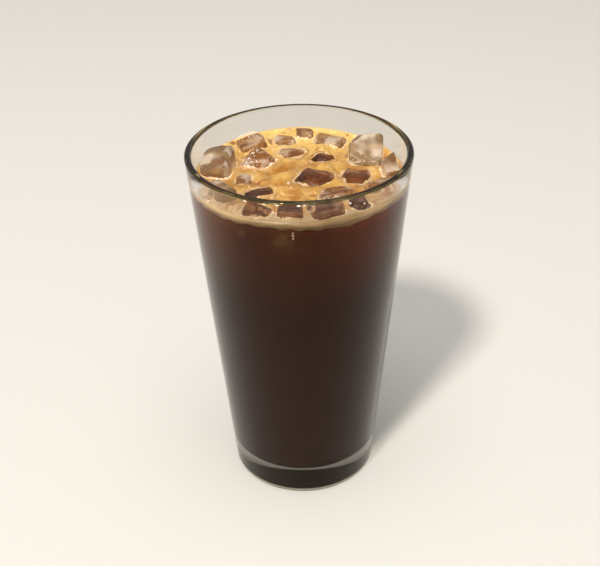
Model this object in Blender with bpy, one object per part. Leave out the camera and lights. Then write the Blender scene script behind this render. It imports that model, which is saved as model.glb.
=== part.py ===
"""Iced coffee in a straight-sided pint tumbler.

The tumbler is one turned piece of glass with a thick base. It holds black coffee, a layer of
tan foam, and loose lumps of ice that float in both. Metres, +Z up, origin at the middle of the
foot, so the tumbler stands on z = 0.
"""

import math
import random
from collections import namedtuple

import bmesh
import bpy
from mathutils import Vector

# Driving sizes of the tumbler
GLASS_HEIGHT = 0.149
MOUTH_RADIUS = 0.0445
FOOT_RADIUS = 0.030
LIP_WALL = 0.0027
FOOT_WALL = 0.0045
BASE_THICKNESS = 0.012
HEEL_RADIUS = 0.0026
FOOT_RING_RADIUS = 0.024
PUSH_UP = 0.0014
UNDERSIDE_SHARES = (0.0, 0.4, 0.75)
FILLET_RADIUS = 0.005

# Driving sizes of the drink
COFFEE_LEVEL = 0.1369
FOAM_THICKNESS = 0.0014
FOAM_CLIMB_FRONT = 0.0020
FOAM_CLIMB_BACK = 0.0004
CLIMB_WIDTH = 0.0032
LEVEL_RIPPLE = 0.00035
RIPPLE_LOBES = 5
RIPPLE_PHASE = math.radians(285)
FOAM_RELIEF = 0.00022

# The foam's low mounds are waves across, waves along and weaker waves aslant, each so many
# radians to the metre
WAVES_ACROSS = 310
WAVES_ALONG = 270
WAVES_ASLANT = 520
ACROSS_PHASE = 1.1
ALONG_PHASE = 0.4
ASLANT_SHARE = 0.6

# Clearances between touching pieces
GAP = 0.0003
ICE_GAP = 0.00035

# How finely round shapes are cut
SEGMENTS = 56
ARC_STEPS = 4
LIP_STEPS = 6
WALL_STEPS = 1
SURFACE_RINGS = 5
SHARP_ANGLE = math.radians(40)
MERGE_DISTANCE = 1e-7

# The edges of the ice are rounded by melting, its corners lie a little off a true block, and
# some of its upper corners are broken off along a flat face
MELT_RADIUS = 0.0015
CORNER_WANDER = 0.10
UNDER_TAPER = 0.86
CHIP_DEPTH = (0.60, 0.78)
CHIP_LEAN = (0.45, 1.0)

# Each lump of ice, in millimetres and degrees: middle in plan, highest point over the foot,
# width, depth and height of the block, its turn about Z, its lift towards the back, its lift
# towards the right, and how many of its upper corners are broken off.
Lump = namedtuple("Lump", "name x y top wide deep tall turn back_up right_up chips")
LUMPS = (
    Lump("ice_left", -31.8, 4.2, 148.4, 13.2, 17.0, 15.0, -12, 10, 6, 2),
    Lump("ice_right", 26.6, 12.8, 150.0, 15.0, 16.5, 11.5, -10, 31, -2, 2),
    Lump("ice_right_wall", 35.2, -3.1, 147.0, 6.2, 12.0, 12.0, 6, 12, 4, 1),
    Lump("ice_left_inner", -15.7, 9.8, 145.2, 12.2, 12.4, 10.0, -32, 25, 2, 2),
    Lump("ice_back_left", -18.6, 24.6, 143.8, 13.5, 8.5, 9.0, 24, 4, 8, 2),
    Lump("ice_back_wall", -5.4, 28.2, 141.8, 9.6, 7.5, 9.0, 8, 4, 0, 1),
    Lump("ice_back_small", 2.8, 33.8, 145.0, 8.2, 6.5, 9.5, -6, 8, 0, 2),
    Lump("ice_back_long", 13.2, 27.4, 142.4, 14.5, 8.0, 9.0, -22, 10, -3, 2),
    Lump("ice_back_middle", -3.0, 17.2, 141.3, 12.0, 9.5, 10.0, -14, -5, 4, 2),
    Lump("ice_middle_small", 9.4, 12.2, 140.7, 8.5, 8.5, 9.0, -28, 3, 0, 1),
    Lump("ice_middle", 5.8, -5.2, 141.4, 14.5, 12.5, 11.0, -26, 4, -3, 1),
    Lump("ice_right_inner", 22.0, -5.2, 142.0, 12.0, 11.6, 10.0, -20, 5, 5, 2),
    Lump("ice_left_small", -21.2, -5.4, 141.0, 6.5, 10.0, 9.0, 4, -4, 5, 1),
    Lump("ice_dark", -16.2, -16.2, 140.5, 12.8, 8.5, 10.0, 2, 2, -2, 1),
    Lump("ice_front_inner", 13.0, -18.2, 141.8, 15.0, 7.5, 9.0, 14, -5, 7, 2),
    Lump("ice_front_left", -29.2, -19.6, 145.2, 7.6, 15.0, 12.0, 34, -6, 5, 1),
    Lump("ice_front_lens", -16.2, -31.3, 142.2, 11.8, 7.2, 10.0, -27, -8, 3, 2),
    Lump("ice_front_mound", -3.8, -35.4, 143.0, 11.0, 6.8, 9.0, -6, -6, 4, 2),
    Lump("ice_front_block", 10.2, -32.7, 142.8, 14.0, 8.6, 11.0, 15, -8, -3, 1),
    Lump("ice_front_round", 22.2, -27.0, 142.4, 9.0, 7.8, 10.0, 42, -6, -4, 2),
    Lump("ice_front_right", 30.5, -17.5, 144.8, 7.8, 12.6, 12.0, -30, -5, -6, 2),
)

GLASS_TINT = (0.86, 0.9, 0.87, 1)
ICE_TINT = (0.8, 0.76, 0.7, 1)
COFFEE_BROWN = (0.024, 0.010, 0.006, 1)
FOAM_TAN = (0.60, 0.36, 0.14, 1)


def clear_scene():
    """Removes whatever the file holds before the part is made."""
    for old in list(bpy.data.objects):
        bpy.data.objects.remove(old, do_unlink=True)


def finish(name, colour, roughness, transmission=0.0):
    """A Principled material of one colour."""
    material = bpy.data.materials.new(name)
    material.use_nodes = True
    shader = material.node_tree.nodes["Principled BSDF"]
    shader.inputs["Base Color"].default_value = colour
    shader.inputs["Roughness"].default_value = roughness
    shader.inputs["Transmission Weight"].default_value = transmission
    return material


def add_object(name, bm, material):
    """Links a bmesh into the scene as a smooth-shaded object with sharp edges kept."""
    mesh = bpy.data.meshes.new(name)
    bm.to_mesh(mesh)
    bm.free()
    mesh.materials.append(material)
    mesh.shade_smooth()
    mesh.set_sharp_from_angle(angle=SHARP_ANGLE)
    obj = bpy.data.objects.new(name, mesh)
    bpy.context.scene.collection.objects.link(obj)
    return obj


def smoothstep(share):
    """0 before 0, 1 after 1, and an S-curve between."""
    share = min(1.0, max(0.0, share))
    return share * share * (3 - 2 * share)


def outer_radius(z):
    """Outer radius of the tumbler's straight taper at a height."""
    return FOOT_RADIUS + (MOUTH_RADIUS - FOOT_RADIUS) * z / GLASS_HEIGHT


def inner_radius(z):
    """Inner radius at a height: the wall thins evenly from the floor to the lip."""
    share = (z - BASE_THICKNESS) / (GLASS_HEIGHT - BASE_THICKNESS)
    return outer_radius(z) - FOOT_WALL + (FOOT_WALL - LIP_WALL) * share


def arc(centre_r, centre_z, radius, start, end, steps):
    """Points on an arc in the (r, z) plane, from start to end in degrees."""
    points = []
    for step in range(steps + 1):
        angle = math.radians(start + (end - start) * step / steps)
        points.append((centre_r + radius * math.cos(angle), centre_z + radius * math.sin(angle)))
    return points


def turned(profile):
    """Spins an (r, z) profile, whose ends are on the axis, into a closed bmesh."""
    bm = bmesh.new()
    verts = [bm.verts.new((r, 0, z)) for r, z in profile]
    edges = [bm.edges.new(pair) for pair in zip(verts, verts[1:])]
    bmesh.ops.spin(
        bm,
        geom=verts + edges,
        cent=(0, 0, 0),
        axis=(0, 0, 1),
        angle=math.tau,
        steps=SEGMENTS,
        use_merge=True,
    )
    bmesh.ops.remove_doubles(bm, verts=bm.verts, dist=MERGE_DISTANCE)
    bmesh.ops.recalc_face_normals(bm, faces=bm.faces)
    return bm


def wall_run(radius_at, low, high):
    """Points up a straight wall between two heights, both ends left out."""
    heights = [low + (high - low) * step / (WALL_STEPS + 1) for step in range(1, WALL_STEPS + 1)]
    return [(radius_at(z), z) for z in heights]


def glass_profile():
    """The tumbler's section: domed underside, foot ring, heel, wall, round lip, well."""
    underside = []
    for share in UNDERSIDE_SHARES:
        underside.append((FOOT_RING_RADIUS * share, PUSH_UP * (1 - share * share)))
    heel_r = outer_radius(HEEL_RADIUS) - HEEL_RADIUS
    heel = arc(heel_r, HEEL_RADIUS, HEEL_RADIUS, -90, 0, ARC_STEPS)
    lip_radius = LIP_WALL / 2
    lip_z = GLASS_HEIGHT - lip_radius
    lip = arc(outer_radius(lip_z) - lip_radius, lip_z, lip_radius, 0, 180, LIP_STEPS)
    well_z = BASE_THICKNESS + FILLET_RADIUS
    fillet = arc(inner_radius(well_z) - FILLET_RADIUS, well_z, FILLET_RADIUS, 0, -90, ARC_STEPS)
    return (
        underside
        + [(FOOT_RING_RADIUS, 0.0)]
        + heel
        + wall_run(outer_radius, HEEL_RADIUS, lip_z)
        + lip
        + wall_run(inner_radius, well_z, lip_z)[::-1]
        + fillet
        + [(0.0, BASE_THICKNESS)]
    )


def level_ripple(x, y):
    """How far the coffee's surface lies off its mean level, growing towards the wall."""
    reach = math.hypot(x, y) / inner_radius(COFFEE_LEVEL)
    return LEVEL_RIPPLE * reach * reach * math.sin(RIPPLE_LOBES * math.atan2(y, x) + RIPPLE_PHASE)


def surface_rings(radius, z):
    """Rings of a flat round surface from its edge to the middle, edge left out."""
    return [
        (radius * (1 - ring / SURFACE_RINGS), z)
        for ring in range(1, SURFACE_RINGS + 1)
    ]


def coffee_body():
    """The coffee fills the well up to its level, clear of the glass by the gap."""
    floor_z = BASE_THICKNESS + GAP
    well_z = BASE_THICKNESS + FILLET_RADIUS
    radius = FILLET_RADIUS - GAP
    fillet = arc(inner_radius(well_z) - FILLET_RADIUS, well_z, radius, -90, 0, ARC_STEPS)
    edge = inner_radius(COFFEE_LEVEL) - GAP
    wall = wall_run(lambda z: inner_radius(z) - GAP, well_z, COFFEE_LEVEL)
    top = [(edge, COFFEE_LEVEL)] + surface_rings(edge, COFFEE_LEVEL)
    bm = turned([(0.0, floor_z)] + fillet + wall + top)
    for vert in bm.verts:
        if vert.co.z > COFFEE_LEVEL - GAP:
            vert.co.z += level_ripple(vert.co.x, vert.co.y)
    return bm


def foam_rise(x, y):
    """How far the foam's top stands over its mean height: mounds, and a climb at the wall."""
    angle = math.atan2(y, x)
    reach = math.hypot(x, y)
    mounds = math.sin(x * WAVES_ACROSS + ACROSS_PHASE) * math.cos(y * WAVES_ALONG + ALONG_PHASE)
    mounds += ASLANT_SHARE * math.sin((x + y) * WAVES_ASLANT)
    share = (1 - math.sin(angle)) / 2
    climb = FOAM_CLIMB_BACK + (FOAM_CLIMB_FRONT - FOAM_CLIMB_BACK) * share
    near_wall = smoothstep(1 - (inner_radius(COFFEE_LEVEL) - reach) / CLIMB_WIDTH)
    return FOAM_RELIEF * mounds + climb * near_wall + level_ripple(x, y)


def foam_layer():
    """A layer of foam on the coffee, thicker where it clings to the wall."""
    low = COFFEE_LEVEL + GAP
    high = low + FOAM_THICKNESS
    edge = inner_radius(low) - GAP
    under = surface_rings(edge, low)[::-1] + [(edge, low)]
    ring_width = edge / SURFACE_RINGS
    over = [(edge, high), (edge - CLIMB_WIDTH / 2, high)]
    over += [point for point in surface_rings(edge, high) if point[0] < edge - ring_width / 2]
    bm = turned(under + over)
    for vert in bm.verts:
        if vert.co.z > (low + high) / 2:
            vert.co.z += foam_rise(vert.co.x, vert.co.y)
        else:
            vert.co.z += level_ripple(vert.co.x, vert.co.y)
    return bm


def break_corner(bm, corner, draw):
    """Breaks one corner off a block along a flat face that leans at random."""
    way = Vector((math.copysign(draw.uniform(*CHIP_LEAN), side) for side in corner)).normalized()
    cut = bmesh.ops.bisect_plane(
        bm,
        geom=bm.verts[:] + bm.edges[:] + bm.faces[:],
        plane_co=way * way.dot(corner) * draw.uniform(*CHIP_DEPTH),
        plane_no=way,
        clear_outer=True,
    )
    rim = [item for item in cut["geom_cut"] if isinstance(item, bmesh.types.BMEdge)]
    bmesh.ops.edgeloop_fill(bm, edges=rim)


def lump_body(lump, grow=0.0):
    """A block of ice about its own middle, tapered below, with wandering and broken corners
    and melted edges. grow moves its whole surface outwards."""
    draw = random.Random(lump.name)
    bm = bmesh.new()
    bmesh.ops.create_cube(bm, size=1.0)
    for vert in bm.verts:
        taper = UNDER_TAPER if vert.co.z < 0 else 1.0
        size = (lump.wide * taper, lump.deep * taper, lump.tall)
        for axis in range(3):
            wander = 1 + draw.uniform(-CORNER_WANDER, CORNER_WANDER)
            vert.co[axis] *= size[axis] * wander / 1000
    upper = [vert.co.copy() for vert in bm.verts if vert.co.z > 0]
    for corner in draw.sample(upper, lump.chips):
        break_corner(bm, corner, draw)
    bmesh.ops.bevel(
        bm,
        geom=bm.edges[:],
        offset=MELT_RADIUS,
        offset_type="OFFSET",
        segments=1,
        affect="EDGES",
        clamp_overlap=True,
    )
    bmesh.ops.triangulate(bm, faces=bm.faces)
    bm.normal_update()
    if grow:
        moves = [vert.normal * vert.calc_shell_factor() * grow for vert in bm.verts]
        for vert, move in zip(bm.verts, moves):
            vert.co += move
    return bm


def place_lump(obj, lump):
    """Stands a lump where it floats, so that its highest point is at its stated height."""
    turn = math.radians(lump.turn)
    back_up = math.radians(lump.back_up)
    right_up = math.radians(lump.right_up)
    half_height = (
        lump.wide * abs(math.sin(right_up))
        + lump.deep * abs(math.sin(back_up))
        + lump.tall * math.cos(back_up) * math.cos(right_up)
    ) / 2
    obj.rotation_euler = (back_up, -right_up, turn)
    obj.location = (lump.x / 1000, lump.y / 1000, (lump.top - half_height) / 1000)


def cut_round_ice(obj, room):
    """Takes the ice's room out of a piece, so that the piece fits round the ice."""
    cut = obj.modifiers.new("room for ice", "BOOLEAN")
    cut.operation = "DIFFERENCE"
    cut.object = room


def ice_room(material):
    """One hidden helper that holds the room of every lump of ice."""
    helpers = []
    for lump in LUMPS:
        helper = add_object("room", lump_body(lump, grow=ICE_GAP), material)
        place_lump(helper, lump)
        helpers.append(helper)
    bpy.context.view_layer.update()
    bm = bmesh.new()
    for helper in helpers:
        helper.data.transform(helper.matrix_world)
        bm.from_mesh(helper.data)
        bpy.data.objects.remove(helper, do_unlink=True)
    room = add_object("ice_room", bm, material)
    room.hide_render = True
    room.display_type = "WIRE"
    return room


def main():
    """Makes every piece of the drink in place."""
    clear_scene()
    ice = finish("ice", ICE_TINT, 0.05, transmission=1.0)
    add_object("glass", turned(glass_profile()), finish("glass", GLASS_TINT, 0.02, 1.0))
    coffee = add_object("coffee", coffee_body(), finish("coffee", COFFEE_BROWN, 0.12))
    foam = add_object("foam", foam_layer(), finish("foam", FOAM_TAN, 0.45))
    for lump in LUMPS:
        place_lump(add_object(lump.name, lump_body(lump), ice), lump)
    room = ice_room(ice)
    cut_round_ice(coffee, room)
    cut_round_ice(foam, room)


main()
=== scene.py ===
import math

import bmesh
import bpy
import numpy as np
from mathutils import Matrix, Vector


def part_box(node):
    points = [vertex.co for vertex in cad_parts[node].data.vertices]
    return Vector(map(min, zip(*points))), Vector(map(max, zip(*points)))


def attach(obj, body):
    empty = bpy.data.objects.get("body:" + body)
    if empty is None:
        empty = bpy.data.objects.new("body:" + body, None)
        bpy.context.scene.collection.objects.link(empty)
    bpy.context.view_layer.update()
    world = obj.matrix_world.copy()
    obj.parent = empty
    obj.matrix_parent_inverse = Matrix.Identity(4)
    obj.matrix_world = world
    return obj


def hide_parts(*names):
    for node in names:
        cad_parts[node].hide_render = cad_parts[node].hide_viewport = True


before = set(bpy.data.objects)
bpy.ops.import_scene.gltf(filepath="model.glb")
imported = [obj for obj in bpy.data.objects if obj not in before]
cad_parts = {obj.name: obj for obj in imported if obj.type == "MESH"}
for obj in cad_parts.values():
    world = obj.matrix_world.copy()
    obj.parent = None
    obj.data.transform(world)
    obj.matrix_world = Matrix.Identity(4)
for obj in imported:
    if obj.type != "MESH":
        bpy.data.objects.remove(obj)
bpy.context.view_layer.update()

# The tumbler is one piece of pressed soda-lime glass with a thick base, a wall that thins
# towards the mouth and a lip rounded by flame. The mould has left its faces faintly wavy. The lip
# has painted shade in its colour, a dark green strongest over its front half, for the dark that
# thick glass seen along its length shows. The heel is tinted a darker olive-tan.

GLASS_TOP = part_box("glass")[1].z
MOUTH_RADIUS = 0.0445
FOOT_RADIUS = 0.030
LIP_WALL = 0.0027
LIP_RADIUS = 0.0009
FOOT_WALL = 0.0045
WELL_FLOOR = 0.012
WELL_FILLET = 0.005
HEEL_RADIUS = 0.0026
FOOT_RING_RADIUS = 0.024
PUSH_UP = 0.0014
AROUND = 240
ARC_POINTS = 9
FILLET_POINTS = 13
GLASS_WALL_POINTS = 40
UNDERSIDE_POINTS = 14
WELL_FLOOR_POINTS = 12
MERGE_DISTANCE = 1e-7


def outer_radius(z):
    """Straight taper: the radius grows evenly from the foot to the mouth."""
    return FOOT_RADIUS + (MOUTH_RADIUS - FOOT_RADIUS) * z / GLASS_TOP


def inner_radius(z):
    """The outer radius less a wall that thins evenly from the well's floor to the lip."""
    share = (z - WELL_FLOOR) / (GLASS_TOP - WELL_FLOOR)
    return outer_radius(z) - FOOT_WALL - (LIP_WALL - FOOT_WALL) * share


def arc(centre_r, centre_z, radius, start, end, count):
    """Points (r, z) on a circle about a centre, from one angle to another in degrees."""
    angle = np.radians(np.linspace(start, end, count))
    return np.column_stack([centre_r + radius * np.cos(angle), centre_z + radius * np.sin(angle)])


def wall_line(radius_at, low, high, count):
    """Points (r, z) up a wall, r being a function of z."""
    z = np.linspace(low, high, count)
    return np.column_stack([radius_at(z), z])


def turned(profile, around=AROUND):
    """Points (r cos t, r sin t, z) for each profile point and each angle t, with the quads
    between neighbours, the last angle meeting the first."""
    angle = np.linspace(0, math.tau, around, endpoint=False)
    radius, height = profile[:, :1], profile[:, 1:]
    points = np.stack(
        [radius * np.cos(angle), radius * np.sin(angle), height + 0 * angle], axis=-1
    )
    row, column = np.meshgrid(np.arange(len(profile) - 1), np.arange(around), indexing="ij")
    here, beside = row * around + column, row * around + (column + 1) % around
    quads = np.stack([here, beside, beside + around, here + around], axis=-1)
    return points.reshape(-1, 3), quads.reshape(-1, 4).tolist()


def piece(name, points, faces, material):
    """Puts points and faces into a closed, outward-facing, smooth-shaded mesh."""
    mesh = bpy.data.meshes.new(name)
    mesh.from_pydata(points.tolist(), [], faces)
    bm = bmesh.new()
    bm.from_mesh(mesh)
    bmesh.ops.remove_doubles(bm, verts=bm.verts, dist=MERGE_DISTANCE)
    bmesh.ops.recalc_face_normals(bm, faces=bm.faces)
    bm.to_mesh(mesh)
    bm.free()
    mesh.materials.append(material)
    mesh.shade_smooth()
    made = bpy.data.objects.new(name, mesh)
    bpy.context.scene.collection.objects.link(made)
    return made


def stands_for(made, slot, *nodes):
    """Hides the CAD nodes that a piece replaces, and fixes it. The slot, the finish it takes, is
    not used.
    """
    if nodes:
        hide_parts(*nodes)
    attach(made, "root")


def finish(name, colour, roughness, **inputs):
    """A material with one Principled shader. Further sockets go by name, _ for a blank."""
    material = bpy.data.materials.new(name)
    material.use_nodes = True
    shader = material.node_tree.nodes["Principled BSDF"]
    shader.inputs["Base Color"].default_value = (*colour, 1)
    shader.inputs["Roughness"].default_value = roughness
    for socket, value in inputs.items():
        shader.inputs[socket.replace("_", " ")].default_value = value
    return material, shader


def add_node(material, kind, inputs, **settings):
    """Adds a shader node: inputs are numbers or other nodes' outputs, settings properties."""
    made = material.node_tree.nodes.new("ShaderNode" + kind)
    for name, value in settings.items():
        setattr(made, name, value)
    for socket, value in inputs.items():
        if isinstance(value, bpy.types.NodeSocket):
            material.node_tree.links.new(value, made.inputs[socket])
        else:
            made.inputs[socket].default_value = value
    return made


def place_on(material):
    """The point on the piece, in metres, as a socket."""
    return add_node(material, "TexCoord", {}).outputs["Object"]


def noise(material, scale, detail=3.0, stretch=(1, 1, 1)):
    """Noise over the piece, with scale waves to the metre, as a socket from 0 to 1."""
    stretched = add_node(material, "Mapping", {"Vector": place_on(material), "Scale": stretch})
    cloud = add_node(
        material, "TexNoise", {"Vector": stretched.outputs[0], "Scale": scale, "Detail": detail}
    )
    return cloud.outputs[0]


def between(material, value, low, high, to_low=0.0, to_high=1.0):
    """A value's share of the way from low to high, held to that range and smoothed."""
    ranged = add_node(
        material,
        "MapRange",
        {"Value": value, "From Min": low, "From Max": high, "To Min": to_low, "To Max": to_high},
        interpolation_type="SMOOTHSTEP",
    )
    return ranged.outputs["Result"]


def product(material, first, second, extra=0.0):
    """Two numbers or sockets multiplied, and a third added."""
    made = add_node(material, "Math", {0: first, 1: second, 2: extra}, operation="MULTIPLY_ADD")
    return made.outputs[0]


def blended(material, share, first, second):
    """Two colours, or colour sockets, mixed by a share."""
    first = first if isinstance(first, bpy.types.NodeSocket) else (*first, 1)
    second = second if isinstance(second, bpy.types.NodeSocket) else (*second, 1)
    mix = add_node(material, "Mix", {0: share, 6: first, 7: second}, data_type="RGBA")
    return mix.outputs[2]


def bumped(material, shader, height, depth, strength=1.0):
    """Tilts a shader's normals as a relief of that depth in metres would."""
    bump = add_node(material, "Bump", {"Height": height, "Distance": depth, "Strength": strength})
    material.node_tree.links.new(bump.outputs[0], shader.inputs["Normal"])


def lets_lamps_through(material, shader, tint):
    """Clear matter bends what is seen through it, but lets lamps through unbent, so that it
    casts the light shadow of clear glass: a Transparent shader stands in for shadow rays."""
    path = add_node(material, "LightPath", {})
    clear = add_node(material, "BsdfTransparent", {"Color": (*tint, 1)})
    mix = add_node(
        material,
        "MixShader",
        {0: path.outputs["Is Shadow Ray"], 1: shader.outputs[0], 2: clear.outputs[0]},
    )
    surface = material.node_tree.nodes["Material Output"].inputs["Surface"]
    material.node_tree.links.new(mix.outputs[0], surface)


def glass_section():
    """The closed section: hollow underside, foot ring, heel arc, wall, lip rounded on both
    sides, inner wall, fillet arc and well floor, from the axis back to the axis."""
    hollow_r = np.linspace(0, FOOT_RING_RADIUS, UNDERSIDE_POINTS)
    hollow = np.column_stack([hollow_r, PUSH_UP * (1 - (hollow_r / FOOT_RING_RADIUS) ** 2)])
    heel_r = outer_radius(HEEL_RADIUS) - HEEL_RADIUS
    heel = arc(heel_r, HEEL_RADIUS, HEEL_RADIUS, -90, 0, ARC_POINTS)
    lip_z = GLASS_TOP - LIP_RADIUS
    outer_lip = arc(outer_radius(lip_z) - LIP_RADIUS, lip_z, LIP_RADIUS, 0, 90, ARC_POINTS)
    inner_lip = arc(inner_radius(lip_z) + LIP_RADIUS, lip_z, LIP_RADIUS, 90, 180, ARC_POINTS)
    fillet_z = WELL_FLOOR + WELL_FILLET
    fillet_r = inner_radius(fillet_z) - WELL_FILLET
    fillet = arc(fillet_r, fillet_z, WELL_FILLET, 0, -90, FILLET_POINTS)
    floor_r = np.linspace(fillet[-1, 0], 0, WELL_FLOOR_POINTS)[1:]
    return np.concatenate([
        hollow,
        heel,
        wall_line(outer_radius, HEEL_RADIUS, lip_z, GLASS_WALL_POINTS)[1:-1],
        outer_lip,
        inner_lip,
        wall_line(inner_radius, lip_z, fillet_z, GLASS_WALL_POINTS)[1:-1],
        fillet,
        np.column_stack([floor_r, np.full(len(floor_r), WELL_FLOOR)]),
    ])


GLASS_COLOUR = (0.88, 0.855, 0.81)
GLASS_REFLECTION = (0.36, 0.23, 0.15)
GLASS_DEPTH_COLOUR = (0.62, 0.60, 0.54)
GLASS_DEPTH_DENSITY = 36
GLASS_SHADOW = (0.90, 0.905, 0.88)
MOULD_WAVINESS = 0.00006
LIP_PAINTED_SHADE_DARK = (0.050, 0.078, 0.042)
LIP_PAINTED_SHADE_LIGHT = (0.30, 0.40, 0.25)
LIP_SHADE_HEIGHTS = (0.1479, 0.1485)
LIP_SHADE_FADES_BACK = (0.004, 0.034)
LIP_SHADE_AT_BACK = 0.25
HEEL_COLOUR = (0.50, 0.47, 0.36)
HEEL_TINT_HEIGHTS = (0.0008, 0.0024)

clear_glass, glass_shader = finish(
    "clear_glass",
    GLASS_COLOUR,
    0.0,
    IOR=1.52,
    Transmission_Weight=1.0,
    Specular_Tint=(*GLASS_REFLECTION, 1),
)
glass_place = add_node(clear_glass, "SeparateXYZ", {0: place_on(clear_glass)})
# Painted shade: the lip's colour turns dark green, fully over the front half and a quarter as much
# at the back.
at_lip = between(clear_glass, glass_place.outputs["Z"], *LIP_SHADE_HEIGHTS)
front_shade_share = between(
    clear_glass, glass_place.outputs["Y"], *LIP_SHADE_FADES_BACK, 1.0, LIP_SHADE_AT_BACK
)
lip_shade_share = product(clear_glass, at_lip, front_shade_share)
lip_noise = between(clear_glass, noise(clear_glass, 160, 2.0), 0.35, 0.70)
lip_painted_shade = blended(clear_glass, lip_noise, LIP_PAINTED_SHADE_DARK, LIP_PAINTED_SHADE_LIGHT)
at_heel = between(clear_glass, glass_place.outputs["Z"], *HEEL_TINT_HEIGHTS, 1.0, 0.0)
heel_tinted = blended(clear_glass, at_heel, GLASS_COLOUR, HEEL_COLOUR)
glass_colour = blended(clear_glass, lip_shade_share, heel_tinted, lip_painted_shade)
clear_glass.node_tree.links.new(glass_colour, glass_shader.inputs["Base Color"])
bumped(clear_glass, glass_shader, noise(clear_glass, 70, 1.0, (1, 1, 0.3)), MOULD_WAVINESS)
lets_lamps_through(clear_glass, glass_shader, GLASS_SHADOW)
depth_tint = add_node(
    clear_glass,
    "VolumeAbsorption",
    {"Color": (*GLASS_DEPTH_COLOUR, 1), "Density": GLASS_DEPTH_DENSITY},
)
clear_glass.node_tree.links.new(
    depth_tint.outputs[0], clear_glass.node_tree.nodes["Material Output"].inputs["Volume"]
)
tumbler = piece("tumbler", *turned(glass_section()), clear_glass)
stands_for(tumbler, "glass", "glass")

# The ice is frozen water, in lumps that float in the coffee, wet and rounded by melting. Each is
# worked out from the planes of its own CAD node. The clear ones have the dark of the coffee under
# them painted into their own colour, and the others are clouded by tiny bubbles and stained tan
# by foam. Painted light is in their colour too: greyer tops, whitish edges and glints at the foot.

MELT_SHARPNESS = 44
ICE_GRID = 28
ICE_DIMPLE = 0.00034
DIMPLE_WAVES = 7
DIMPLE_PITCH = 420
ICE_INTO_DRINK = 0.00012
EDGE_SHARPNESS = 9
# For each lump: how stained it is, the least stained taking the painted dark of the coffee under
# it, and how much painted sparkle its foot gets, both from 0 to 1.
STAIN_AND_SPARKLE = {
    "ice_left": (0.86, 0.25),
    "ice_left_inner": (0.67, 0.85),
    "ice_left_small": (0.72, 0.2),
    "ice_right": (0.94, 0.35),
    "ice_right_inner": (0.45, 0.2),
    "ice_right_wall": (0.80, 0.5),
    "ice_back_left": (0.70, 0.8),
    "ice_back_small": (0.66, 0.6),
    "ice_back_long": (0.78, 0.3),
    "ice_back_wall": (0.74, 0.2),
    "ice_back_middle": (0.64, 0.0),
    "ice_middle": (0.40, 0.2),
    "ice_middle_small": (0.32, 0.1),
    "ice_dark": (0.0, 0.1),
    "ice_front_inner": (0.52, 0.2),
    "ice_front_left": (0.90, 0.1),
    "ice_front_right": (0.56, 0.1),
    "ice_front_lens": (0.36, 0.3),
    "ice_front_mound": (0.31, 0.1),
    "ice_front_block": (0.31, 0.2),
    "ice_front_round": (0.12, 0.7),
}


def cube_grid(count):
    """Whole-number points on the surface of a cube of that many steps, each once, and the
    quads between them: face by face, two coordinates run and the third is 0 or count."""
    step = np.arange(count + 1)
    u, v = (g.ravel() for g in np.meshgrid(step, step, indexing="ij"))
    sides = []
    for axis in range(3):
        for end in (0, count):
            side = np.empty((len(u), 3), int)
            side[:, axis], side[:, (axis + 1) % 3], side[:, (axis + 2) % 3] = end, u, v
            sides.append(side)
    points, place = np.unique(np.concatenate(sides), axis=0, return_inverse=True)
    place = place.reshape(6, count + 1, count + 1)
    quads = np.stack(
        [place[:, :-1, :-1], place[:, 1:, :-1], place[:, 1:, 1:], place[:, :-1, 1:]], axis=-1
    )
    return points, quads.reshape(-1, 4).tolist()


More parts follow.
